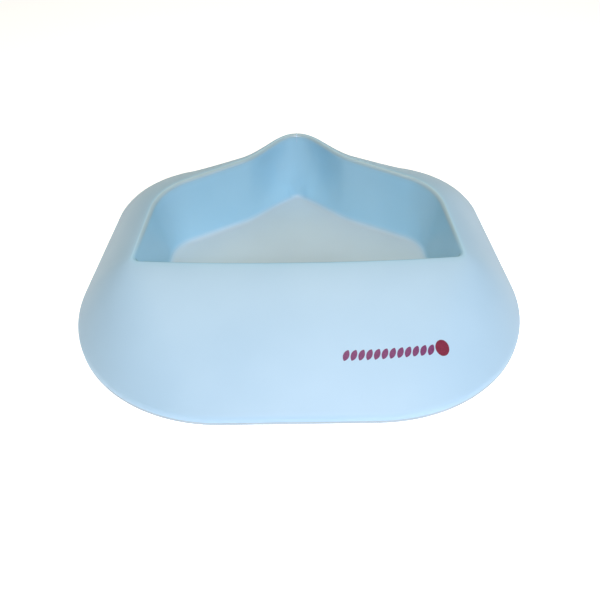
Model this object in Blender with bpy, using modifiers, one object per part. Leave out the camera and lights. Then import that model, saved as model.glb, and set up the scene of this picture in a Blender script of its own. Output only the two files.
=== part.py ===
"""Bedpan with a broad sloping seat, a vee-ended basin and a pouring spout.

The pan stands on the ground plane with its origin under the middle of its outline.
-Y is the low seat edge that goes under the sitter, +Y is the spout end, and +Z is up.
All sizes are in metres.
"""

import math

import bmesh
import bpy
from mathutils import Vector

# Outline of the whole pan, seen from above.
PAN_WIDTH = 0.394
PAN_DEPTH = 0.362
SIDE_TAPER = math.radians(2.6)
HEM_NEAR_RADIUS = 0.138
HEM_REAR_RADIUS = 0.090
HEM_REAR_ANGLE = math.radians(4)
HEM_NOSE_RADIUS = 0.6

# Seat: the apron that slopes up from the hem to the crest of the rim. The two curves are
# the power of its rounding, at the near side and sides, and from the vee's corners back.
NEAR_SEAT = 0.118
SIDE_SEAT = 0.056
SPOUT_SETBACK = 0.0475
SEAT_CURVE = 1.45
REAR_CURVE = 1.35
REAR_START = 0.4

# Crest of the rim, seen from above and from the side.
BASIN_BOW = 0.0055
BASIN_TAPER = math.radians(4.0)
CREST_NEAR_RADIUS = 0.010
CREST_VEE_RADIUS = 0.057
SPOUT_RADIUS = 0.043
VEE_ANGLE = math.radians(30.8)
NEAR_RIM_HEIGHT = 0.0605
REAR_RIM_HEIGHT = 0.0765
SPOUT_RISE = 0.0025
SPOUT_REACH = 0.017
SPOUT_HALF_WIDTH = 0.055
CREST_ROLL = 0.0035

# Basin. The back of the spout's channel is broader halfway down than at the crest.
SPOUT_CREST_BACK = 0.004
SPOUT_WAIST_BACK = 0.028
WALL_DRAFT = 0.018
FLOOR_NEAR_RADIUS = 0.010
FLOOR_VEE_RADIUS = 0.010
FLOOR_SPOUT_RADIUS = 0.006
FLOOR_FILLET = 0.006

# Wall of the moulding, the edge of its hem, and the gap left between touching pieces.
WALL = 0.003
HEM_LIP = 0.0045
HEM_FILLET = 0.0035
GAP = 0.0003

# Base plate and the upstand that locates it inside the hem.
PLATE_THICKNESS = 0.0025
UPSTAND_THICKNESS = 0.0025
UPSTAND_HEIGHT = 0.0025
UPSTAND_CLEARANCE = 0.0005

# Foot pads.
PAD_RADIUS = 0.011
PAD_STAND = 0.001
PAD_RECESS = 0.001
PAD_CLEARANCE = 0.0003
PAD_INSET = 0.026
PAD_BEVEL = 0.0003

# Heights that follow from the sizes above.
PLATE_HIGH = PAD_STAND + PLATE_THICKNESS
HEM_LOW = PLATE_HIGH + GAP
HEM_HIGH = HEM_LOW + HEM_LIP
FLOOR_HEIGHT = HEM_LOW + WALL

# Most of a side's length that the arcs at its two ends may take.
ARC_SHARE = 0.9

# Segments along the half outline's three sides and round the corner that ends each of
# them, down the sections, and round a pad. The seat's rows crowd towards the crest.
SIDE_STEPS = (5, 5, 10)
CORNER_STEPS = (12, 8, 12)
SEAT_STEPS = 8
SEAT_CROWDING = 1.6
WALL_STEPS = 5
FILLET_STEPS = 3
PAD_SIDES = 32


def smooth_step(value):
    """Ease from 0 to 1 as value goes from 0 to 1."""
    value = min(max(value, 0.0), 1.0)
    return value * value * (3 - 2 * value)


def corner_half_turn(before, corner, after):
    """Half of the angle through which an outline turns at a corner."""
    return (math.pi - (before - corner).angle(after - corner)) / 2


def corner_arc(before, corner, after, reach, steps):
    """Points of the arc that rounds a corner, from reach before it to reach after it."""
    half_turn = corner_half_turn(before, corner, after)
    radius = reach / math.tan(half_turn)
    inward = ((before - corner).normalized() + (after - corner).normalized()).normalized()
    along = Vector((inward.y, -inward.x))
    centre = corner + inward * radius / math.cos(half_turn)
    points = []
    for step in range(steps + 1):
        angle = half_turn * (2 * step / steps - 1)
        points.append(centre + radius * (along * math.sin(angle) - inward * math.cos(angle)))
    return points


def half_outline(half_width, near, apex, taper, vee_angle, radii):
    """Right half of a closed outline, from its near middle round to its rear middle.

    The sides taper to the rear, and the rear is a vee whose sharp corner is at apex.
    The three radii round the near corner, the corner at the vee, and the apex. Where a
    side can't hold both of its arcs, both are made smaller.
    """
    run = (apex - near) * math.tan(taper)
    rear_x = (half_width - run) / (1 - math.tan(vee_angle) * math.tan(taper))
    rear_y = apex - rear_x * math.tan(vee_angle)
    chain = [
        Vector((-half_width, near)),
        Vector((half_width, near)),
        Vector((rear_x, rear_y)),
        Vector((0.0, apex)),
        Vector((-rear_x, rear_y)),
    ]
    reaches = [0.0]
    for index, radius in enumerate(radii):
        reaches.append(radius * math.tan(corner_half_turn(*chain[index : index + 3])))
    reaches[0] = reaches[1]
    for side in range(3):
        room = (chain[side + 1] - chain[side]).length * ARC_SHARE
        over = (reaches[side] + reaches[side + 1]) / room
        if over > 1:
            reaches[side] /= over
            reaches[side + 1] /= over
    points = [Vector((0.0, near))]
    for index, arc_steps in enumerate(CORNER_STEPS):
        arc = corner_arc(*chain[index : index + 3], reaches[index + 1], arc_steps)
        start = points[-1]
        for step in range(1, SIDE_STEPS[index]):
            points.append(start.lerp(arc[0], step / SIDE_STEPS[index]))
        points.extend(arc)
    points = points[: len(points) - CORNER_STEPS[-1] // 2]
    points[-1].x = 0.0
    return points


def nose(radius, vee_angle):
    """How far a vee's sharp corner stands beyond the arc that rounds it."""
    return radius * (1 / math.cos(vee_angle) - 1)


def hem_outline():
    """Half of the pan's outline at its foot: a square with wide near corners."""
    lean = (1 + math.sin(SIDE_TAPER)) / math.cos(SIDE_TAPER) - 1
    return half_outline(
        PAN_WIDTH / 2 + HEM_NEAR_RADIUS * lean,
        -PAN_DEPTH / 2,
        PAN_DEPTH / 2 + nose(HEM_NOSE_RADIUS, HEM_REAR_ANGLE),
        SIDE_TAPER,
        HEM_REAR_ANGLE,
        (HEM_NEAR_RADIUS, HEM_REAR_RADIUS, HEM_NOSE_RADIUS),
    )


def spout_share(point, back=SPOUT_CREST_BACK):
    """How far a point of the rear side is into the spout: 0 outside it, 1 at its back."""
    return smooth_step((SPOUT_HALF_WIDTH - point.x) / (SPOUT_HALF_WIDTH - back))


def basin_outline(inset, radii):
    """Half of a line round the basin, set in from the crest.

    The near side is bowed, and the vee is drawn out at the spout.
    """
    half_width = PAN_WIDTH / 2 - SIDE_SEAT - inset
    crest_apex = PAN_DEPTH / 2 - SPOUT_SETBACK - SPOUT_REACH + nose(SPOUT_RADIUS, VEE_ANGLE)
    points = half_outline(
        half_width,
        NEAR_SEAT + BASIN_BOW + inset - PAN_DEPTH / 2,
        crest_apex - inset / math.cos(VEE_ANGLE),
        BASIN_TAPER,
        VEE_ANGLE,
        radii,
    )
    near_points = SIDE_STEPS[0] + CORNER_STEPS[0]
    for point in points[:near_points]:
        point.y -= BASIN_BOW * (1 - (point.x / half_width) ** 2)
    for point in points[near_points + SIDE_STEPS[1] + 1 :]:
        point.y += SPOUT_REACH * spout_share(point)
    return points


HEM = hem_outline()
CREST = basin_outline(0.0, (CREST_NEAR_RADIUS, CREST_VEE_RADIUS, SPOUT_RADIUS))
FLOOR = basin_outline(WALL_DRAFT, (FLOOR_NEAR_RADIUS, FLOOR_VEE_RADIUS, FLOOR_SPOUT_RADIUS))


def rearward(point):
    """How far back a point of the crest is: 0 at the near edge, 1 at the spout."""
    return (point.y - CREST[0].y) / (CREST[-1].y - CREST[0].y)


def rear_share(point):
    """Blend from the near part of the pan, where it is 0, to the rear, where it is 1."""
    return smooth_step((rearward(point) - REAR_START) / (1 - 2 * REAR_START))


def rim_height(point):
    """The crest rises evenly to the rear, and lifts again into the spout's lip."""
    back = rearward(point)
    rise = (REAR_RIM_HEIGHT - NEAR_RIM_HEIGHT) * back
    lip = SPOUT_RISE * back * back * spout_share(point)
    return NEAR_RIM_HEIGHT + rise + lip


def upright(place, height):
    """A point above a place on the ground."""
    return Vector((place.x, place.y, height))


def ease_corner(before, corner, after, reach):
    """Fillet across a corner of a section, from reach before it to reach after it."""
    start = corner + (before - corner).normalized() * reach
    end = corner + (after - corner).normalized() * reach
    points = []
    for step in range(FILLET_STEPS + 1):
        share = step / FILLET_STEPS
        points.append(start.lerp(corner, share).lerp(corner.lerp(end, share), share))
    return points


def seat_section(hem, crest):
    """The apron, from the lower edge of the hem up to the crest."""
    curve = SEAT_CURVE + (REAR_CURVE - SEAT_CURVE) * rear_share(crest)
    rise = rim_height(crest) - HEM_HIGH
    seat = []
    for step in range(1, SEAT_STEPS + 1):
        ahead = (1 - step / SEAT_STEPS) ** SEAT_CROWDING
        seat.append(upright(crest.lerp(hem, ahead), HEM_HIGH + rise * (1 - ahead**curve)))
    low = upright(hem, HEM_LOW)
    return [low, *ease_corner(low, upright(hem, HEM_HIGH), seat[0], HEM_FILLET), *seat]


def basin_section(crest, floor):
    """Over the rolled edge from the crest, down the drafted wall and round to the floor."""
    width = (floor - crest).length
    top = upright(crest, rim_height(crest))
    brow = upright(crest.lerp(floor, CREST_ROLL / width), top.z)
    foot = upright(floor.lerp(crest, FLOOR_FILLET / width), FLOOR_HEIGHT)
    end = upright(floor, FLOOR_HEIGHT)
    roll = ease_corner(top, brow, foot, CREST_ROLL)[1:]
    fillet = ease_corner(brow, foot, end, FLOOR_FILLET)
    cheek = spout_share(crest, SPOUT_WAIST_BACK) - spout_share(crest)
    cheek *= SPOUT_REACH * rear_share(crest)
    wall = []
    for step in range(1, WALL_STEPS):
        down = step / WALL_STEPS
        hollow = Vector((0.0, cheek * 4 * down * (1 - down), 0.0))
        wall.append(roll[-1].lerp(fillet[0], down) + hollow)
    return [*roll, *wall, *fillet]


def add_object(name, mesh, collection, material=None):
    """A new object in the given collection, standing on the pan's empty."""
    item = bpy.data.objects.new(name, mesh)
    collection.objects.link(item)
    if material:
        mesh.materials.append(material)
        item.parent = PAN
    else:
        item.hide_render = True
        item.display_type = "WIRE"
    return item


def plastic(name, colour, roughness):
    """A plain opaque moulding material."""
    material = bpy.data.materials.new(name)
    material.use_nodes = True
    shader = material.node_tree.nodes["Principled BSDF"]
    shader.inputs["Base Color"].default_value = (*colour, 1.0)
    shader.inputs["Roughness"].default_value = roughness
    shader.inputs["Metallic"].default_value = 0.0
    return material


def both_halves(points):
    """Whole closed outline from its right half, whose ends lie on the middle plane."""
    left = [Vector((-point.x, point.y)) for point in reversed(points[1:-1])]
    return [*points, *left]


def disc(name, radius, low, high):
    """Mesh of an upright disc on the Z axis, from low to high."""
    shape = bmesh.new()
    bmesh.ops.create_cone(
        shape,
        cap_ends=True,
        segments=PAD_SIDES,
        radius1=radius,
        radius2=radius,
        depth=high - low,
    )
    bmesh.ops.translate(shape, verts=shape.verts, vec=(0.0, 0.0, (low + high) / 2))
    mesh = bpy.data.meshes.new(name)
    shape.to_mesh(mesh)
    shape.free()
    return mesh


def add_seat_shell():
    """One moulding: apron, rim, basin and spout, lofted on one half and mirrored."""
    columns = []
    for hem, crest, floor in zip(HEM, CREST, FLOOR):
        columns.append(seat_section(hem, crest) + basin_section(crest, floor))
    rows = len(columns[0])
    points = [point for column in columns for point in column]
    faces = []
    for column in range(len(columns) - 1):
        for row in range(rows - 1):
            corner = column * rows + row
            faces.append((corner, corner + rows, corner + rows + 1, corner + 1))
    faces.append([column * rows + rows - 1 for column in range(len(columns))])
    mesh = bpy.data.meshes.new("seat_shell")
    mesh.from_pydata(points, [], faces)
    mesh.shade_smooth()
    shell = add_object("seat_shell", mesh, PIECES, SHELL_PLASTIC)
    mirror = shell.modifiers.new("other_half", "MIRROR")
    mirror.merge_threshold = 0.0001
    wall = shell.modifiers.new("wall", "SOLIDIFY")
    wall.thickness = WALL
    wall.offset = -1
    wall.use_even_offset = True
    wall.use_quality_normals = True


def raise_faces(shape, faces, height):
    """Extrude faces upwards, and give back the new top faces."""
    grown = bmesh.ops.extrude_face_region(shape, geom=faces)["geom"]
    corners = [item for item in grown if isinstance(item, bmesh.types.BMVert)]
    bmesh.ops.translate(shape, verts=corners, vec=(0.0, 0.0, height))
    return [item for item in grown if isinstance(item, bmesh.types.BMFace)]


def add_base_plate(places):
    """Closing plate under the hem, with an upstand inside it and recesses for the pads."""
    shape = bmesh.new()
    edge = [shape.verts.new(upright(place, PAD_STAND)) for place in both_halves(HEM)]
    top = raise_faces(shape, [shape.faces.new(edge)], PLATE_THICKNESS)
    bmesh.ops.recalc_face_normals(shape, faces=shape.faces)
    to_upstand = WALL + UPSTAND_CLEARANCE
    bmesh.ops.inset_region(shape, faces=top, thickness=to_upstand, use_even_offset=True)
    ring = bmesh.ops.inset_region(
        shape, faces=top, thickness=UPSTAND_THICKNESS, use_even_offset=True
    )
    raise_faces(shape, ring["faces"], UPSTAND_HEIGHT)
    bmesh.ops.delete(shape, geom=ring["faces"], context="FACES_ONLY")
    mesh = bpy.data.meshes.new("base_plate")
    shape.to_mesh(mesh)
    shape.free()
    plate = add_object("base_plate", mesh, PIECES, BASE_PLASTIC)
    for number, place in enumerate(places):
        name = f"pad_recess_{number + 1}"
        cutter = disc(name, PAD_RADIUS + PAD_CLEARANCE, -PAD_STAND, PAD_STAND + PAD_RECESS)
        recess = add_object(name, cutter, CUTTERS)
        recess.location = (place.x, place.y, 0.0)
        cut = plate.modifiers.new(name, "BOOLEAN")
        cut.operation = "DIFFERENCE"
        cut.object = recess
        cut.solver = "EXACT"


def pad_places():
    """Middles of the four pads, one inside each corner of the hem."""
    near_y = HEM_NEAR_RADIUS - PAN_DEPTH / 2
    near = Vector((PAN_WIDTH / 2 - HEM_NEAR_RADIUS, near_y))
    near += Vector((1, -1)).normalized() * (HEM_NEAR_RADIUS - PAD_INSET)
    rear_corner = max(HEM, key=lambda point: point.x + point.y)
    rear = rear_corner - Vector((1, 1)).normalized() * PAD_INSET
    return [Vector((side * place.x, place.y)) for place in (near, rear) for side in (-1, 1)]


def add_foot_pads(places):
    """Rubber discs set into the underside of the base plate."""
    names = ("near_left", "near_right", "rear_left", "rear_right")
    for name, place in zip(names, places):
        high = PAD_STAND + PAD_RECESS - GAP
        mesh = disc(f"foot_pad_{name}", PAD_RADIUS, 0.0, high)
        pad = add_object(f"foot_pad_{name}", mesh, PIECES, PAD_RUBBER)
        pad.location = (place.x, place.y, 0.0)
        edge = pad.modifiers.new("edge", "BEVEL")
        edge.width = PAD_BEVEL
        edge.segments = 1


for leftover in list(bpy.data.objects):
    bpy.data.objects.remove(leftover)

PIECES = bpy.data.collections.new("bedpan")
CUTTERS = bpy.data.collections.new("cutters")
for group in (PIECES, CUTTERS):
    bpy.context.scene.collection.children.link(group)
PAN = bpy.data.objects.new("pan", None)
PIECES.objects.link(PAN)

SHELL_PLASTIC = plastic("pale_blue_plastic", (0.50, 0.66, 0.74), 0.28)
BASE_PLASTIC = plastic("grey_blue_plastic", (0.36, 0.46, 0.52), 0.45)
PAD_RUBBER = plastic("grey_rubber", (0.16, 0.17, 0.18), 0.75)

places = pad_places()
add_seat_shell()
add_base_plate(places)
add_foot_pads(places)
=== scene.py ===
"""Bedpan in pale blue plastic, standing on a white studio floor.

The seat shell comes first, because the rest fits to it: the base plate that closes it,
the rubber foot pads, the parting line that its mould leaves, and the printed mark.
-Y is the low seat edge, +Y is the spout end, +Z is up, and all sizes are in metres.
"""

import math

import bmesh
import bpy
from mathutils import Matrix, Vector


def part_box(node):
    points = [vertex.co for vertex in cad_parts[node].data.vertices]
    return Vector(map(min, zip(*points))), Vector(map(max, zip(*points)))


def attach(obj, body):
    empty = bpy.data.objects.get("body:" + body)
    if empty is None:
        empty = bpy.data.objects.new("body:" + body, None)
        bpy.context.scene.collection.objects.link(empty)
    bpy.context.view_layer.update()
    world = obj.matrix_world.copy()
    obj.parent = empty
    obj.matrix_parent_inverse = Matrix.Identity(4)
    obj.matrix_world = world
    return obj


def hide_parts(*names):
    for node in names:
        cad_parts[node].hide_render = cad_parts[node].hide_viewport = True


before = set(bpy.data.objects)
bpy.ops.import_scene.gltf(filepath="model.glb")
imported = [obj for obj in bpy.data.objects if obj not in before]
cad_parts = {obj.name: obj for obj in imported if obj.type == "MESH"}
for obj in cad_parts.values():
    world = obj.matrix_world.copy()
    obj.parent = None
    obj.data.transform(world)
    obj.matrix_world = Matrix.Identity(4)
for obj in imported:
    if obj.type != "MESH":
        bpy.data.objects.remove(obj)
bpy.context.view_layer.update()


# ---- Seat shell -------------------------------------------------------------------
# One injection moulding in pale blue polypropylene: a broad apron that slopes up from
# the hem, a rolled rim, and a vee-ended basin with a spout. Its outlines at the hem,
# the crest and the floor are unlike, so it is drawn out from one to the next.

# Outline of the hem, and its edge. In this section, each set of radii is that of the
# near corners, the rear corners and the rear middle.
PAN_WIDTH = 0.394
PAN_DEPTH = 0.362
SIDE_TAPER = math.radians(2.6)
HEM_RADII = (0.138, 0.090, 0.6)
HEM_REAR_ANGLE = math.radians(4)
HEM_LOW = 0.0038
HEM_HIGH = 0.0083
HEM_FILLET = 0.0035

# Apron: how wide it is, where its rows start, and how full its curves are.
SEAT_START = 0.0045
NEAR_SEAT = 0.118
SIDE_SEAT = 0.056
SPOUT_SETBACK = 0.0475
SEAT_CURVE = 1.45
REAR_CURVE = 1.35
REAR_START = 0.4

# Crest of the rim, and the spout that is drawn out of its rear.
CREST_RADII = (0.006, 0.057, 0.043)
CREST_ROLL = 0.0035
BASIN_BOW = 0.0055
BASIN_TAPER = math.radians(4.0)
VEE_ANGLE = math.radians(30.8)
NEAR_RIM_HEIGHT = 0.0605
REAR_RIM_HEIGHT = 0.0765
SPOUT_RISE = 0.0025
SPOUT_REACH = 0.017
SPOUT_HALF_WIDTH = 0.055
SPOUT_CREST_BACK = 0.004
SPOUT_WAIST_BACK = 0.028

# Floor and walls of the basin.
FLOOR_RADII = (0.010, 0.030, 0.006)
FLOOR_HEIGHT = 0.0068
FLOOR_FILLET = 0.006
WALL_DRAFT = 0.018
SHELL_WALL = 0.003

# Most of a side's length that the arcs at its two ends may take.
ARC_SHARE = 0.9
# Segments along the half outline's three sides, round the corner that ends each, up
# the apron, whose rows crowd towards the crest, down the wall, and across each fillet.
SIDE_STEPS = (14, 14, 34)
CORNER_STEPS = (34, 26, 40)
SEAT_STEPS = 34
SEAT_CROWDING = 1.6
WALL_STEPS = 14
FILLET_STEPS = 8

# Darker and lighter shade of each part of the moulding. The floor's tones are painted light,
# the greyer cast that overhead light gives it. The rim's tones are painted shade, which damps
# the light that its rolled top catches.
APRON_SHADES = ("#A9CFE6", "#AFD4EA")
BASIN_SHADES = ("#A2D5EC", "#AADAEF")
# Painted light: the greyer tone that overhead light gives the basin's floor.
FLOOR_PAINTED_LIGHT_TONES = ("#B4CBD4", "#BAD1DA")
# Painted shade: a greyer band along the rim's rolled top.
RIM_PAINTED_SHADE_TONES = ("#A0BFC9", "#A6C5CF")
# The rim's band of painted shade, which damps the light that its rolled top catches: rows from
# its middle to its ends, rows in its core, and the share of the way back from the near edge at
# which it reaches its full strength.
RIM_ROWS = 5
RIM_CORE_ROWS = 1
RIM_SHADE_RAMP = 0.25
# Finish: shares of polish, roughness, strengths of the grit, and sizes of the patterns.
FLOOR_POLISH = 0.1
APRON_ROUGHNESS = (0.46, 0.54)
POLISHED_ROUGHNESS = 0.16
APRON_GRIT_STRENGTH = 0.12
POLISHED_GRIT_STRENGTH = 0.02
SHELL_DRIFT_SIZE = 0.0714
SHELL_RUB_SIZE = 0.0222
SHELL_GRIT_SIZE = 0.000714
GRIT_DEPTH = 0.0001
# Places of a colour Mix node's sockets, since its other kinds have sockets of the same
# names: factor, colour underneath, colour on top, and result.
MIX_SHARE, MIX_UNDER, MIX_OVER, MIX_RESULT = 0, 6, 7, 2
SMOOTH_ANGLE = math.radians(35)


def smooth_step(value):
    """Ease from 0 to 1 as value goes from 0 to 1."""
    value = min(max(value, 0.0), 1.0)
    return value * value * (3 - 2 * value)


def half_turn(before, corner, after):
    """Half of the angle through which an outline turns at a corner."""
    return (math.pi - (before - corner).angle(after - corner)) / 2


def corner_arc(before, corner, after, reach, steps):
    """Points of the arc that rounds a corner, from reach before it to reach after it."""
    turn = half_turn(before, corner, after)
    radius = reach / math.tan(turn)
    inward = ((before - corner).normalized() + (after - corner).normalized()).normalized()
    along = Vector((inward.y, -inward.x))
    centre = corner + inward * radius / math.cos(turn)
    points = []
    for step in range(steps + 1):
        angle = turn * (2 * step / steps - 1)
        points.append(centre + radius * (along * math.sin(angle) - inward * math.cos(angle)))
    return points


def half_outline(half_width, near, apex, taper, vee_angle, radii):
    """Right half of a closed outline, from its near middle round to its rear middle."""
    run = (apex - near) * math.tan(taper)
    rear_x = (half_width - run) / (1 - math.tan(vee_angle) * math.tan(taper))
    rear_y = apex - rear_x * math.tan(vee_angle)
    chain = [Vector((-half_width, near)), Vector((half_width, near))]
    chain += [Vector((rear_x, rear_y)), Vector((0.0, apex)), Vector((-rear_x, rear_y))]
    reaches = [0.0]
    for index, radius in enumerate(radii):
        reaches.append(radius * math.tan(half_turn(*chain[index : index + 3])))
    reaches[0] = reaches[1]
    for side in range(3):
        room = (chain[side + 1] - chain[side]).length * ARC_SHARE
        over = max(1.0, (reaches[side] + reaches[side + 1]) / room)
        reaches[side] /= over
        reaches[side + 1] /= over
    points = [Vector((0.0, near))]
    for index, steps in enumerate(CORNER_STEPS):
        arc = corner_arc(*chain[index : index + 3], reaches[index + 1], steps)
        start = points[-1]
        for step in range(1, SIDE_STEPS[index]):
            points.append(start.lerp(arc[0], step / SIDE_STEPS[index]))
        points.extend(arc)
    points = points[: len(points) - CORNER_STEPS[-1] // 2]
    points[-1].x = 0.0
    return points


def nose(radius, vee_angle):
    """How far a vee's sharp corner stands beyond the arc that rounds it."""
    return radius * (1 / math.cos(vee_angle) - 1)


def spout_share(place, back=SPOUT_CREST_BACK):
    """How far a place on the rear side is into the spout: 0 outside it, 1 at its back."""
    return smooth_step((SPOUT_HALF_WIDTH - place.x) / (SPOUT_HALF_WIDTH - back))


def hem_outline():
    """Half of the pan's outline at its foot: a square with wide near corners."""
    lean = (1 + math.sin(SIDE_TAPER)) / math.cos(SIDE_TAPER) - 1
    half_width = PAN_WIDTH / 2 + HEM_RADII[0] * lean
    apex = PAN_DEPTH / 2 + nose(HEM_RADII[2], HEM_REAR_ANGLE)
    near = -PAN_DEPTH / 2
    return half_outline(half_width, near, apex, SIDE_TAPER, HEM_REAR_ANGLE, HEM_RADII)


def basin_outline(inset, radii):
    """Half of a line round the basin: bowed in front and drawn out at the spout."""
    half_width = PAN_WIDTH / 2 - SIDE_SEAT - inset
    near = NEAR_SEAT + BASIN_BOW + inset - PAN_DEPTH / 2
    apex = PAN_DEPTH / 2 - SPOUT_SETBACK - SPOUT_REACH + nose(CREST_RADII[2], VEE_ANGLE)
    apex -= inset / math.cos(VEE_ANGLE)
    points = half_outline(half_width, near, apex, BASIN_TAPER, VEE_ANGLE, radii)
    near_points = SIDE_STEPS[0] + CORNER_STEPS[0]
    for point in points[:near_points]:
        point.y -= BASIN_BOW * (1 - (point.x / half_width) ** 2)
    for point in points[near_points + SIDE_STEPS[1] + 1 :]:
        point.y += SPOUT_REACH * spout_share(point)
    return points


HEM = hem_outline()
CREST = basin_outline(0.0, CREST_RADII)
FLOOR = basin_outline(WALL_DRAFT, FLOOR_RADII)


def rearward(place):
    """How far back a place on the crest is: 0 at the near edge, 1 at the spout."""
    return (place.y - CREST[0].y) / (CREST[-1].y - CREST[0].y)


def rear_share(place):
    """Blend from the near part of the pan, where it is 0, to the rear, where it is 1."""
    return smooth_step((rearward(place) - REAR_START) / (1 - 2 * REAR_START))


def rim_height(place):
    """The crest rises evenly to the rear, and lifts again into the spout's lip."""
    back = rearward(place)
    rise = (REAR_RIM_HEIGHT - NEAR_RIM_HEIGHT) * back
    return NEAR_RIM_HEIGHT + rise + SPOUT_RISE * back * back * spout_share(place)


def upright(place, height):
    """The point above a place on the ground."""
    return Vector((place.x, place.y, height))


def ease_corner(before, corner, after, reach):
    """Fillet across a corner of a section, from reach before it to reach after it."""
    start = corner + (before - corner).normalized() * reach
    end = corner + (after - corner).normalized() * reach
    points = []
    for step in range(FILLET_STEPS + 1):
        share = step / FILLET_STEPS
        points.append(start.lerp(corner, share).lerp(corner.lerp(end, share), share))
    return points


def shell_section(hem, crest, floor):
    """One section of the shell, from the foot of the hem over the rim to the floor."""
    curve = SEAT_CURVE + (REAR_CURVE - SEAT_CURVE) * rear_share(crest)
    rise = rim_height(crest) - HEM_HIGH
    beyond_fillet = 1 - SEAT_START / (hem - crest).length
    seat = []
    for step in range(SEAT_STEPS + 1):
        ahead = beyond_fillet * (1 - step / SEAT_STEPS) ** SEAT_CROWDING
        seat.append(upright(crest.lerp(hem, ahead), HEM_HIGH + rise * (1 - ahead**curve)))
    foot_of_hem = upright(hem, HEM_LOW)
    hem_edge = ease_corner(foot_of_hem, upright(hem, HEM_HIGH), seat[0], HEM_FILLET)
    width = (floor - crest).length
    brow = upright(crest.lerp(floor, CREST_ROLL / width), seat[-1].z)
    foot = upright(floor.lerp(crest, FLOOR_FILLET / width), FLOOR_HEIGHT)
    roll = ease_corner(seat[-1], brow, foot, CREST_ROLL)[1:]
    fillet = ease_corner(brow, foot, upright(floor, FLOOR_HEIGHT), FLOOR_FILLET)
    cheek = spout_share(crest, SPOUT_WAIST_BACK) - spout_share(crest)
    cheek *= SPOUT_REACH * rear_share(crest)
    wall = []
    for step in range(1, WALL_STEPS):
        down = step / WALL_STEPS
        hollow = Vector((0.0, cheek * 4 * down * (1 - down), 0.0))
        wall.append(roll[-1].lerp(fillet[0], down) + hollow)
    return [foot_of_hem, *hem_edge, *seat, *roll, *wall, *fillet]


def all_round(half):
    """The whole closed ring of a half outline, whose ends lie on the middle plane."""
    left = [Vector((-point.x, *point[1:])) for point in reversed(half[1:-1])]
    return [*half, *left]


def deselect():
    """Leave edit mode and clear the selection, which new primitives are added to."""
    if bpy.context.object and bpy.context.object.mode != "OBJECT":
        bpy.ops.object.mode_set(mode="OBJECT")
    bpy.ops.object.select_all(action="DESELECT")


def begin_ring(name, points, fill="NOTHING"):
    """Add a circle, open it in edit mode, and carry its corners to the given points."""
    deselect()
    bpy.ops.mesh.primitive_circle_add(vertices=len(points), fill_type=fill)
    ring = bpy.context.object
    ring.name = ring.data.name = name
    bpy.ops.object.mode_set(mode="EDIT")
    shape = bmesh.from_edit_mesh(ring.data)
    column = shape.verts.layers.int.new("column")
    for number, (corner, point) in enumerate(zip(shape.verts, points)):
        corner[column] = number
        corner.co = point
    bmesh.update_edit_mesh(ring.data)
    return ring


def draw_out(ring, points):
    """Extrude the selected edge of a ring, and carry each new corner to its point."""
    bpy.ops.mesh.extrude_region_move()
    shape = bmesh.from_edit_mesh(ring.data)
    column = shape.verts.layers.int["column"]
    for corner in shape.verts:
        if corner.select:
            corner.co = points[corner[column]]
    bmesh.update_edit_mesh(ring.data)


def finish_mesh(piece):
    """Recalculate a closed piece's faces, smooth them, and set its origin."""
    deselect()
    piece.select_set(True)
    bpy.context.view_layer.objects.active = piece
    bpy.ops.object.mode_set(mode="EDIT")
    bpy.ops.mesh.select_all(action="SELECT")
    bpy.ops.mesh.normals_make_consistent(inside=False)
    bpy.ops.object.mode_set(mode="OBJECT")
    bpy.ops.object.shade_smooth_by_angle(angle=SMOOTH_ANGLE)
    bpy.ops.object.transform_apply()
    bpy.ops.object.select_all(action="DESELECT")


def apply_modifier(piece, kind, **settings):
    """Add a modifier to a piece and apply it."""
    modifier = piece.modifiers.new(kind.lower(), kind)
    for setting, value in settings.items():
        setattr(modifier, setting, value)
    bpy.context.view_layer.objects.active = piece
    bpy.ops.object.modifier_apply(modifier=modifier.name)


def linear(hex_colour):
    """Linear RGBA of an sRGB hex colour."""
    channels = [int(hex_colour[start : start + 2], 16) / 255 for start in (1, 3, 5)]
    return (
        *(c / 12.92 if c <= 0.04045 else ((c + 0.055) / 1.055) ** 2.4 for c in channels),
        1.0,
    )


def add_node(material, kind, sockets=None, stops=(), **settings):
    """Add a shader node: sockets take values or outputs, and stops are a ramp's."""
    node = material.node_tree.nodes.new(kind)
    for setting, value in settings.items():
        setattr(node, setting, value)
    for number, (position, hex_colour) in enumerate(stops):
        node.color_ramp.elements[number].position = position
        node.color_ramp.elements[number].color = linear(hex_colour)
    for socket, value in (sockets or {}).items():
        if isinstance(value, bpy.types.NodeSocket):
            material.node_tree.links.new(value, node.inputs[socket])
        else:
            node.inputs[socket].default_value = value
    return node


def new_material(name, shader_values):
    """A material with its Principled shader's constant values set."""
    material = bpy.data.materials.new(name)
    material.use_nodes = True
    shader = material.node_tree.nodes["Principled BSDF"]
    for socket, value in shader_values.items():
        shader.inputs[socket].default_value = value
    return material, shader


def connect(material, output, socket):
    """Link an output to a socket."""
    material.node_tree.links.new(output, socket)


def give(piece, material):
    """Put one material on a piece."""
    piece.data.materials.clear()
    piece.data.materials.append(material)


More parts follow.
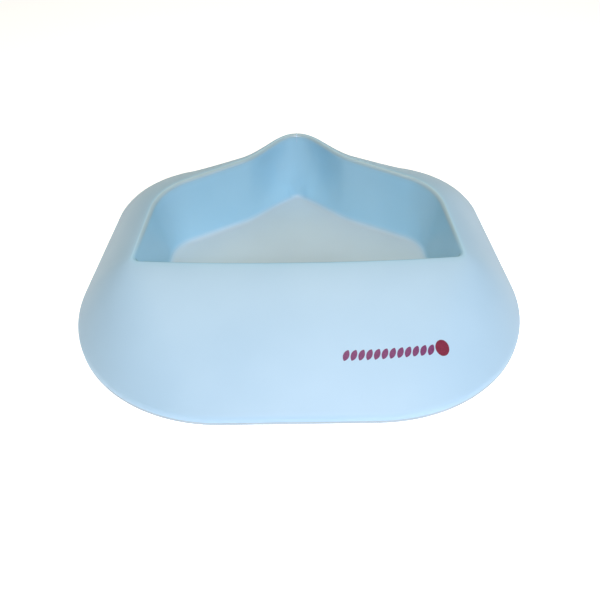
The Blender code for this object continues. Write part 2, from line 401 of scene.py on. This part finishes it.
def shell_pigment(material, place, polish):
    """Colour of the moulding: a shade for each part of it, each of them drifting. The floor's
    tone is painted light, and the rim's band is painted shade.
    """
    # Pigment drifts by a shade over a hand's breadth, as the melt spreads from the gate.
    drift = add_node(
        material,
        "ShaderNodeTexNoise",
        {"Vector": place, "Scale": 1 / SHELL_DRIFT_SIZE, "Detail": 2.0, "Roughness": 0.45},
    )
    shades = []
    for darker, lighter in (APRON_SHADES, BASIN_SHADES, FLOOR_PAINTED_LIGHT_TONES, RIM_PAINTED_SHADE_TONES):
        shade = add_node(
            material,
            "ShaderNodeValToRGB",
            {"Fac": drift.outputs["Fac"]},
            stops=((0.3, darker), (0.7, lighter)),
        )
        shades.append(shade.outputs["Color"])
    # The floor's greyer tone is painted light, the cast that overhead light gives it. The rim's
    # greyer band is painted shade, which damps the light that its rolled top catches.
    floor_painted_light = add_node(material, "ShaderNodeAttribute", attribute_name="floor_painted_light")
    rim_painted_shade = add_node(material, "ShaderNodeAttribute", attribute_name="rim_painted_shade")
    colour = shades[0]
    shares = (polish, floor_painted_light.outputs["Fac"], rim_painted_shade.outputs["Fac"])
    for share, shade in zip(shares, shades[1:]):
        mixed = add_node(
            material,
            "ShaderNodeMix",
            {MIX_SHARE: share, MIX_UNDER: colour, MIX_OVER: shade},
            data_type="RGBA",
        )
        colour = mixed.outputs[MIX_RESULT]
    return colour


def shell_sheen(material, place, polish):
    """Roughness: textured on the apron, where wiping makes it vary, and low in the basin."""
    wiped = add_node(
        material,
        "ShaderNodeTexNoise",
        {"Vector": place, "Scale": 1 / SHELL_RUB_SIZE, "Detail": 4.0, "Roughness": 0.6},
    )
    textured = add_node(
        material,
        "ShaderNodeMapRange",
        {
            "Value": wiped.outputs["Fac"],
            "To Min": APRON_ROUGHNESS[0],
            "To Max": APRON_ROUGHNESS[1],
        },
    )
    roughness = add_node(
        material,
        "ShaderNodeMapRange",
        {
            "Value": polish,
            "To Min": textured.outputs["Result"],
            "To Max": POLISHED_ROUGHNESS,
        },
    )
    return roughness.outputs["Result"]


def shell_grit(material, place, polish):
    """Bump from the mould's texture: 0.2 mm grit, drawn at 0.7 mm so that it shows."""
    grit = add_node(
        material,
        "ShaderNodeTexNoise",
        {"Vector": place, "Scale": 1 / SHELL_GRIT_SIZE, "Detail": 2.0, "Roughness": 0.5},
    )
    strength = add_node(
        material,
        "ShaderNodeMapRange",
        {
            "Value": polish,
            "To Min": APRON_GRIT_STRENGTH,
            "To Max": POLISHED_GRIT_STRENGTH,
        },
    )
    bump = add_node(
        material,
        "ShaderNodeBump",
        {
            "Height": grit.outputs["Fac"],
            "Strength": strength.outputs["Result"],
            "Distance": GRIT_DEPTH,
        },
    )
    return bump.outputs["Normal"]


def moulded_polypropylene():
    """Polypropylene, fine-textured on the apron and polished inside the basin.

    The texture of the apron scatters a whitish bloom over the pigment. The polished
    walls of the basin show it deeper, and shine.
    """
    material, shader = new_material(
        "pale_blue_moulded_polypropylene",
        {"IOR": 1.49, "Specular IOR Level": 0.5, "Metallic": 0.0},
    )
    place = add_node(material, "ShaderNodeTexCoord").outputs["Object"]
    attribute = add_node(material, "ShaderNodeAttribute", attribute_name="polish")
    polish = attribute.outputs["Fac"]
    connect(material, shell_pigment(material, place, polish), shader.inputs["Base Color"])
    connect(material, shell_sheen(material, place, polish), shader.inputs["Roughness"])
    connect(material, shell_grit(material, place, polish), shader.inputs["Normal"])
    return material


sections = [shell_section(*places) for places in zip(HEM, CREST, FLOOR)]
rings = [all_round(list(row)) for row in zip(*sections)]
seat_shell = begin_ring("seat_shell_moulding", rings[0])
for ring_points in rings[1:]:
    draw_out(seat_shell, ring_points)
bpy.ops.mesh.edge_face_add()
bpy.ops.mesh.select_all(action="SELECT")
bpy.ops.mesh.normals_make_consistent(inside=False)
if bmesh.from_edit_mesh(seat_shell.data).faces[-1].normal.z < 0:
    bpy.ops.mesh.flip_normals()
deselect()
# Each corner of the mesh carries its share of polish, of the floor's painted light and of the
# rim's painted shade, which the material reads. The wall's rows run on from the hem's foot.
crest_row = FILLET_STEPS + 2 + SEAT_STEPS
foot_row = len(rings) - 1 - FILLET_STEPS
rim_row = crest_row + FILLET_STEPS // 2
rim_shade_reach = [smooth_step(rearward(place) / RIM_SHADE_RAMP) for place in all_round(CREST)]
finishes = {"polish": [], "floor_painted_light": [], "rim_painted_shade": []}
for row in range(len(rings)):
    polished = smooth_step((row - crest_row) / (2 * FILLET_STEPS) + 0.5)
    on_floor = smooth_step((row - foot_row) / FILLET_STEPS)
    finishes["polish"] += [polished - (1 - FLOOR_POLISH) * on_floor] * len(rings[0])
    # Painted light: the floor takes the greyer tone that overhead light gives it.
    finishes["floor_painted_light"] += [on_floor] * len(rings[0])
    # Painted shade: a greyer band along the rim's rolled top, fading out towards the near edge.
    on_rim = smooth_step((RIM_ROWS - abs(row - rim_row)) / (RIM_ROWS - RIM_CORE_ROWS))
    finishes["rim_painted_shade"] += [on_rim * shade_reach for shade_reach in rim_shade_reach]
for finish, shares in finishes.items():
    seat_shell.data.attributes.new(finish, "FLOAT", "POINT")
    seat_shell.data.attributes[finish].data.foreach_set("value", shares)
apply_modifier(
    seat_shell,
    "SOLIDIFY",
    thickness=SHELL_WALL,
    offset=-1.0,
    use_even_offset=True,
    use_quality_normals=True,
)
finish_mesh(seat_shell)
SHELL_PLASTIC = moulded_polypropylene()
give(seat_shell, SHELL_PLASTIC)
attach(seat_shell, "root")
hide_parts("seat_shell")


# ---- Base plate -------------------------------------------------------------------
# A flat moulding in a greyer blue that closes the foot of the seat shell. Its edge
# shows as a thin band under the hem. An upstand inside the hem locates it, a shallow
# groove stiffens it underneath, and four round recesses hold the foot pads.

PLATE_LOW = 0.001
PLATE_HIGH = 0.0035
PLATE_EDGE_ROUND = 0.0005
UPSTAND_INSET = 0.0035
UPSTAND_THICKNESS = 0.0025
UPSTAND_HEIGHT = 0.0025
GROOVE_INSET = 0.009
GROOVE_WIDTH = 0.002
GROOVE_DEPTH = 0.0006
RECESS_CLEARANCE = 0.0003
RECESS_TOP = 0.002
ROUND_SIDES = 64
# Heights closer than this are taken as the same.
HAIR = 0.00001
BASE_ROUGHNESS = (0.42, 0.55)
BASE_CLOUD_SIZE = 0.0167
BASE_GRIT_SIZE = 0.00091
PAD_NODES = [f"foot_pad_{end}_{side}" for end in ("near", "rear") for side in ("left", "right")]


def select_where(piece, kind, wanted):
    """In edit mode, select just the faces, or just the edges, for which wanted is true."""
    bpy.ops.mesh.select_mode(type=kind)
    bpy.ops.mesh.select_all(action="DESELECT")
    shape = bmesh.from_edit_mesh(piece.data)
    for item in shape.faces if kind == "FACE" else shape.edges:
        item.select_set(wanted(item))
    shape.select_flush_mode()
    bmesh.update_edit_mesh(piece.data)


def level_of(item):
    """Lowest and highest points of a face or an edge."""
    heights = [corner.co.z for corner in item.verts]
    return min(heights), max(heights)


def lies_at(item, height):
    """Whether a face or an edge lies flat at a height."""
    low, high = level_of(item)
    return abs(low - height) < HAIR and abs(high - height) < HAIR


def is_flat(item):
    """Whether a face or an edge lies flat at any height."""
    low, high = level_of(item)
    return high - low < HAIR


def is_plate_rim(edge):
    """Whether an edge of the plate lies flat along its outer wall."""
    walls = [level_of(face) for face in edge.link_faces]
    return is_flat(edge) and any(
        low < PLATE_LOW + HAIR and high > PLATE_HIGH - HAIR for low, high in walls
    )


def select_middle(piece, height):
    """Select the widest face that lies flat at a height."""
    shape = bmesh.from_edit_mesh(piece.data)
    flat = [face for face in shape.faces if lies_at(face, height)]
    middle = max(flat, key=lambda face: face.calc_area()).index
    select_where(piece, "FACE", lambda face: face.index == middle)


def step_ring(piece, height, inset, width, rise):
    """Set a flat face in, and raise or sink a ring of it."""
    select_middle(piece, height)
    bpy.ops.mesh.inset(thickness=inset)
    bpy.ops.mesh.inset(thickness=width)
    shape = bmesh.from_edit_mesh(piece.data)
    middle = [face for face in shape.faces if face.select][0]
    ring = {loop.link_loop_radial_next.face.index for loop in middle.loops}
    select_where(piece, "FACE", lambda face: face.index in ring)
    bpy.ops.mesh.extrude_region_move(TRANSFORM_OT_translate={"value": (0.0, 0.0, rise)})


def pad_place(node):
    """A foot pad's middle on the ground, its radius and its height, from the frame."""
    low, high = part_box(node)
    middle = Vector(((low[0] + high[0]) / 2, (low[1] + high[1]) / 2))
    return middle, (high[0] - low[0]) / 2, high[2]


def moulded_base_plastic():
    """Filled polypropylene from a plain steel mould: duller and greyer than the shell."""
    material, shader = new_material(
        "grey_blue_moulded_polypropylene",
        {"IOR": 1.49, "Specular IOR Level": 0.4},
    )
    place = add_node(material, "ShaderNodeTexCoord").outputs["Object"]
    # Filler gives the colour a faint cloud a centimetre or two across.
    cloud = add_node(
        material,
        "ShaderNodeTexNoise",
        {"Vector": place, "Scale": 1 / BASE_CLOUD_SIZE, "Detail": 4.0, "Roughness": 0.55},
    )
    tint = add_node(
        material,
        "ShaderNodeValToRGB",
        {"Fac": cloud.outputs["Fac"]},
        stops=((0.3, "#A6B9C4"), (0.75, "#B1C3CD")),
    )
    connect(material, tint.outputs["Color"], shader.inputs["Base Color"])
    gloss = add_node(
        material,
        "ShaderNodeMapRange",
        {
            "Value": cloud.outputs["Fac"],
            "To Min": BASE_ROUGHNESS[0],
            "To Max": BASE_ROUGHNESS[1],
        },
    )
    connect(material, gloss.outputs["Result"], shader.inputs["Roughness"])
    # Spark-eroded grit of 0.3 mm, drawn at 0.9 mm.
    grit = add_node(
        material,
        "ShaderNodeTexNoise",
        {"Vector": place, "Scale": 1 / BASE_GRIT_SIZE},
    )
    bump = add_node(
        material,
        "ShaderNodeBump",
        {"Height": grit.outputs["Fac"], "Strength": 0.15, "Distance": GRIT_DEPTH},
    )
    connect(material, bump.outputs["Normal"], shader.inputs["Normal"])
    return material


hem_ring = [upright(place, PLATE_LOW) for place in all_round(HEM)]
base_plate = begin_ring("base_plate_moulding", hem_ring, "NGON")
plate_rise = {"value": (0.0, 0.0, PLATE_HIGH - PLATE_LOW)}
bpy.ops.mesh.extrude_region_move(TRANSFORM_OT_translate=plate_rise)
step_ring(base_plate, PLATE_HIGH, UPSTAND_INSET, UPSTAND_THICKNESS, UPSTAND_HEIGHT)
step_ring(base_plate, PLATE_LOW, GROOVE_INSET, GROOVE_WIDTH, GROOVE_DEPTH)
select_where(base_plate, "EDGE", is_plate_rim)
bpy.ops.mesh.bevel(offset=PLATE_EDGE_ROUND, segments=3)
finish_mesh(base_plate)
for pad_node in PAD_NODES:
    middle, radius, _ = pad_place(pad_node)
    bpy.ops.mesh.primitive_cylinder_add(
        vertices=ROUND_SIDES,
        radius=radius + RECESS_CLEARANCE,
        depth=2 * RECESS_TOP,
        location=(middle.x, middle.y, 0.0),
    )
    cutter = bpy.context.object
    apply_modifier(base_plate, "BOOLEAN", object=cutter, operation="DIFFERENCE")
    bpy.data.objects.remove(cutter)
finish_mesh(base_plate)
give(base_plate, moulded_base_plastic())
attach(base_plate, "root")
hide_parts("base_plate")


# ---- Foot pads --------------------------------------------------------------------
# Four black rubber discs pressed into the recesses of the base plate, so that the pan
# doesn't slide. Their edges are eased, and two rings are moulded into the tread.

PAD_EDGE_ROUND = 0.0003
TREAD_INSETS = (0.0022, 0.0016)
TREAD_WIDTH = 0.001
TREAD_DEPTH = 0.0003
BLOOM_SIZE = 0.0031


def moulded_rubber():
    """Moulded nitrile rubber: dark grey, nearly matt, with dust in its bloom."""
    material, shader = new_material(
        "black_moulded_rubber",
        {"IOR": 1.52, "Specular IOR Level": 0.35, "Roughness": 0.8},
    )
    place = add_node(material, "ShaderNodeTexCoord").outputs["Object"]
    bloom = add_node(
        material,
        "ShaderNodeTexNoise",
        {"Vector": place, "Scale": 1 / BLOOM_SIZE, "Detail": 5.0, "Roughness": 0.6},
    )
    tint = add_node(
        material,
        "ShaderNodeValToRGB",
        {"Fac": bloom.outputs["Fac"]},
        stops=((0.35, "#2A2B2C"), (0.8, "#3C3E3F")),
    )
    connect(material, tint.outputs["Color"], shader.inputs["Base Color"])
    bump = add_node(
        material,
        "ShaderNodeBump",
        {"Height": bloom.outputs["Fac"], "Strength": 0.3, "Distance": GRIT_DEPTH},
    )
    connect(material, bump.outputs["Normal"], shader.inputs["Normal"])
    return material


PAD_RUBBER = moulded_rubber()
for pad_node in PAD_NODES:
    deselect()
    middle, radius, top = pad_place(pad_node)
    bpy.ops.mesh.primitive_cylinder_add(
        vertices=ROUND_SIDES,
        radius=radius,
        depth=top,
        location=(middle.x, middle.y, top / 2),
    )
    bpy.ops.object.transform_apply()
    pad = bpy.context.object
    pad.name = pad.data.name = f"{pad_node}_rubber"
    bpy.ops.object.mode_set(mode="EDIT")
    select_where(pad, "EDGE", is_flat)
    bpy.ops.mesh.bevel(offset=PAD_EDGE_ROUND, segments=2)
    for tread_inset in TREAD_INSETS:
        step_ring(pad, 0.0, tread_inset, TREAD_WIDTH, TREAD_DEPTH)
    finish_mesh(pad)
    give(pad, PAD_RUBBER)
    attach(pad, "root")
    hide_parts(pad_node)


# ---- Parting line -----------------------------------------------------------------
# Where the two halves of the mould meet at the back, the plastic keeps a hair-fine
# raised line. It belongs to the shell, and runs from just inside the spout over its lip
# and down the middle of the rear slope to the hem.

LINE_WIDTH = 0.0012
LINE_PROUD = 0.00025
LINE_BURIED = 0.0004
LINE_INSIDE_ROWS = 2
# Share of its half width and of its height at which the ridge's shoulder lies.
LINE_SHOULDER = (0.7, 0.6)

middle_section = shell_section(HEM[-1], CREST[-1], FLOOR[-1])
line_run = middle_section[FILLET_STEPS + 1 : crest_row + FILLET_STEPS + LINE_INSIDE_ROWS]
outwards = []
for before, after in zip(line_run[:-1], line_run[1:]):
    outwards.append(Vector((0.0, after.z - before.z, before.y - after.y)).normalized())


def line_ring(point, outward):
    """Ridge section of the parting line, square to its run: two feet and a rounded top."""
    foot = Vector((LINE_WIDTH / 2, 0.0, 0.0))
    across = foot * LINE_SHOULDER[0]
    shoulder = point + outward * LINE_PROUD * LINE_SHOULDER[1]
    buried = point - outward * LINE_BURIED
    top = point + outward * LINE_PROUD
    return [buried + foot, shoulder + across, top, shoulder - across, buried - foot]


parting_line = begin_ring("parting_line", line_ring(line_run[0], outwards[0]), "NGON")
for point, outward in zip(line_run[1:], outwards):
    draw_out(parting_line, line_ring(point, outward))
finish_mesh(parting_line)
give(parting_line, SHELL_PLASTIC)
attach(parting_line, "root")


# ---- Printed mark -----------------------------------------------------------------
# A plain ornament pad-printed on the right of the apron in plum and crimson ink: a
# rising row of leaves that ends in a round berry. The ink's film follows the plastic,
# and is drawn a tenth of a millimetre proud of it, thicker than a real one.

MARK_START = Vector((0.036, -0.1405))
MARK_END = Vector((0.1015, -0.1365))
MARK_BOW = 0.0008
LEAF_COUNT = 12
LEAF_LONG = 0.0042
LEAF_WIDE = 0.0023
LEAF_LEAN = math.radians(-28)
# Powers of a shape's narrowing towards its ends: a leaf is pointed, and a half is round.
LEAF_POINT = 0.75
ROUND_POINT = 0.5
BERRY_MIDDLE = Vector((0.1105, -0.1345))
BERRY_RADIUS = 0.0055
INK_PROUD = 0.0001
INK_THICKNESS = 0.00015
ABOVE_SEAT = 0.09
INK_DENSITY_SIZE = 0.0014


def printing_ink(name, shade, light_shade):
    """Pad-printing ink: a satin film whose density varies a little with the pad."""
    material, shader = new_material(name, {"IOR": 1.5, "Roughness": 0.42})
    place = add_node(material, "ShaderNodeTexCoord").outputs["Object"]
    density = add_node(
        material,
        "ShaderNodeTexNoise",
        {"Vector": place, "Scale": 1 / INK_DENSITY_SIZE, "Detail": 3.0},
    )
    tint = add_node(
        material,
        "ShaderNodeValToRGB",
        {"Fac": density.outputs["Fac"]},
        stops=((0.35, shade), (0.7, light_shade)),
    )
    connect(material, tint.outputs["Color"], shader.inputs["Base Color"])
    return material


def print_shape(middle, long, wide, lean, point):
    """A flat leaf or disc above the apron, ready to be laid onto it."""
    bpy.ops.mesh.primitive_circle_add(
        vertices=ROUND_SIDES // 2,
        radius=1.0,
        fill_type="NGON",
        location=(middle.x, middle.y, ABOVE_SEAT),
        rotation=(0.0, 0.0, lean),
    )
    shape = bpy.context.object
    for corner in shape.data.vertices:
        narrowing = max(1 - corner.co.y**2, 0.0) ** point
        corner.co.x = math.copysign(wide * narrowing, corner.co.x)
        corner.co.y *= long
    bpy.ops.object.transform_apply()
    return shape


def lay_ink(name, shapes, ink):
    """Join flat shapes, lay them onto the apron as one film, and finish it."""
    deselect()
    for shape in shapes:
        shape.select_set(True)
    bpy.context.view_layer.objects.active = shapes[0]
    bpy.ops.object.join()
    film = bpy.context.object
    film.name = film.data.name = name
    apply_modifier(
        film,
        "SHRINKWRAP",
        target=seat_shell,
        wrap_method="PROJECT",
        use_project_z=True,
        use_negative_direction=True,
        use_positive_direction=False,
        offset=INK_PROUD,
    )
    apply_modifier(film, "SOLIDIFY", thickness=INK_THICKNESS, offset=-1.0)
    finish_mesh(film)
    give(film, ink)
    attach(film, "root")


deselect()
leaves = []
for number in range(LEAF_COUNT):
    along = number / (LEAF_COUNT - 1)
    leaf_middle = MARK_START.lerp(MARK_END, along)
    leaf_middle.y += MARK_BOW * 4 * along * (along - 1)
    leaves.append(print_shape(leaf_middle, LEAF_LONG, LEAF_WIDE, LEAF_LEAN, LEAF_POINT))
lay_ink("printed_leaves", leaves, printing_ink("plum_printing_ink", "#6A2A60", "#7A3A6E"))
deselect()
berry = print_shape(BERRY_MIDDLE, BERRY_RADIUS, BERRY_RADIUS, 0.0, ROUND_POINT)
lay_ink("printed_berry", [berry], printing_ink("crimson_printing_ink", "#6E0F30", "#80193C"))


# ---- Camera, floor and light --------------------------------------------------------
# A white sweep that glows a little, as one over a light table does. The main softbox is
# close, above and in front. A cooler one stands on the right, and two weaker, warmer
# ones hang overhead. Each has its place, its size in metres, its watts and its tint.

CAMERA_PLACE = (0.00213, -0.45073, 0.36916)
CAMERA_TILT = math.radians(48)
CAMERA_TURN = math.radians(0.13)
CAMERA_ROLL = math.radians(-0.921)
CAMERA_LENS = 35.817
SWEEP_SIZE = 8.0
SWEEP_GLOW = 0.6
ROOM_LIGHT = 0.16
SOFTBOXES = {
    "front_softbox": ((0.03, -0.62, 0.62), 0.35, 3.9, "#FFF6FF"),
    "right_softbox": ((1.1, -0.9, 0.9), 0.7, 4.6, "#E1E6FF"),
    "top_softbox": ((0.0, 0.0, 1.6), 0.7, 6.5, "#FFE0BA"),
    "back_softbox": ((0.0, 0.7, 1.4), 0.9, 3.6, "#FBFFDE"),
}
SOFTBOX_AIM = Vector((0.0, 0.0, 0.03))

bpy.ops.object.camera_add(location=CAMERA_PLACE)
camera = bpy.context.object
camera.data.lens = CAMERA_LENS
turned = Matrix.Rotation(CAMERA_TURN, 4, "Z") @ Matrix.Rotation(CAMERA_TILT, 4, "X")
turned = turned @ Matrix.Rotation(CAMERA_ROLL, 4, "Z")
camera.rotation_euler = turned.to_euler()
bpy.context.scene.camera = camera

deselect()
bpy.ops.mesh.primitive_plane_add(size=SWEEP_SIZE)
studio_sweep = bpy.context.object
studio_sweep.name = "studio_sweep"
sweep_paint, _ = new_material(
    "white_sweep",
    {
        "Base Color": linear("#F9F9F9"),
        "Roughness": 0.9,
        "Emission Color": linear("#FFFFFF"),
        "Emission Strength": SWEEP_GLOW,
    },
)
give(studio_sweep, sweep_paint)

world = bpy.data.worlds.new("studio")
bpy.context.scene.world = world
world.use_nodes = True
room = world.node_tree.nodes["Background"].inputs
room["Color"].default_value = linear("#FFFFFF")
room["Strength"].default_value = ROOM_LIGHT

for light_name, (place, size, power, tint) in SOFTBOXES.items():
    bpy.ops.object.light_add(type="AREA", location=place)
    softbox = bpy.context.object
    softbox.name = light_name
    softbox.data.size = size
    softbox.data.energy = power
    softbox.data.color = linear(tint)[:3]
    softbox.rotation_euler = (SOFTBOX_AIM - Vector(place)).to_track_quat("-Z", "Y").to_euler()

bpy.context.scene.view_settings.view_transform = "Standard"
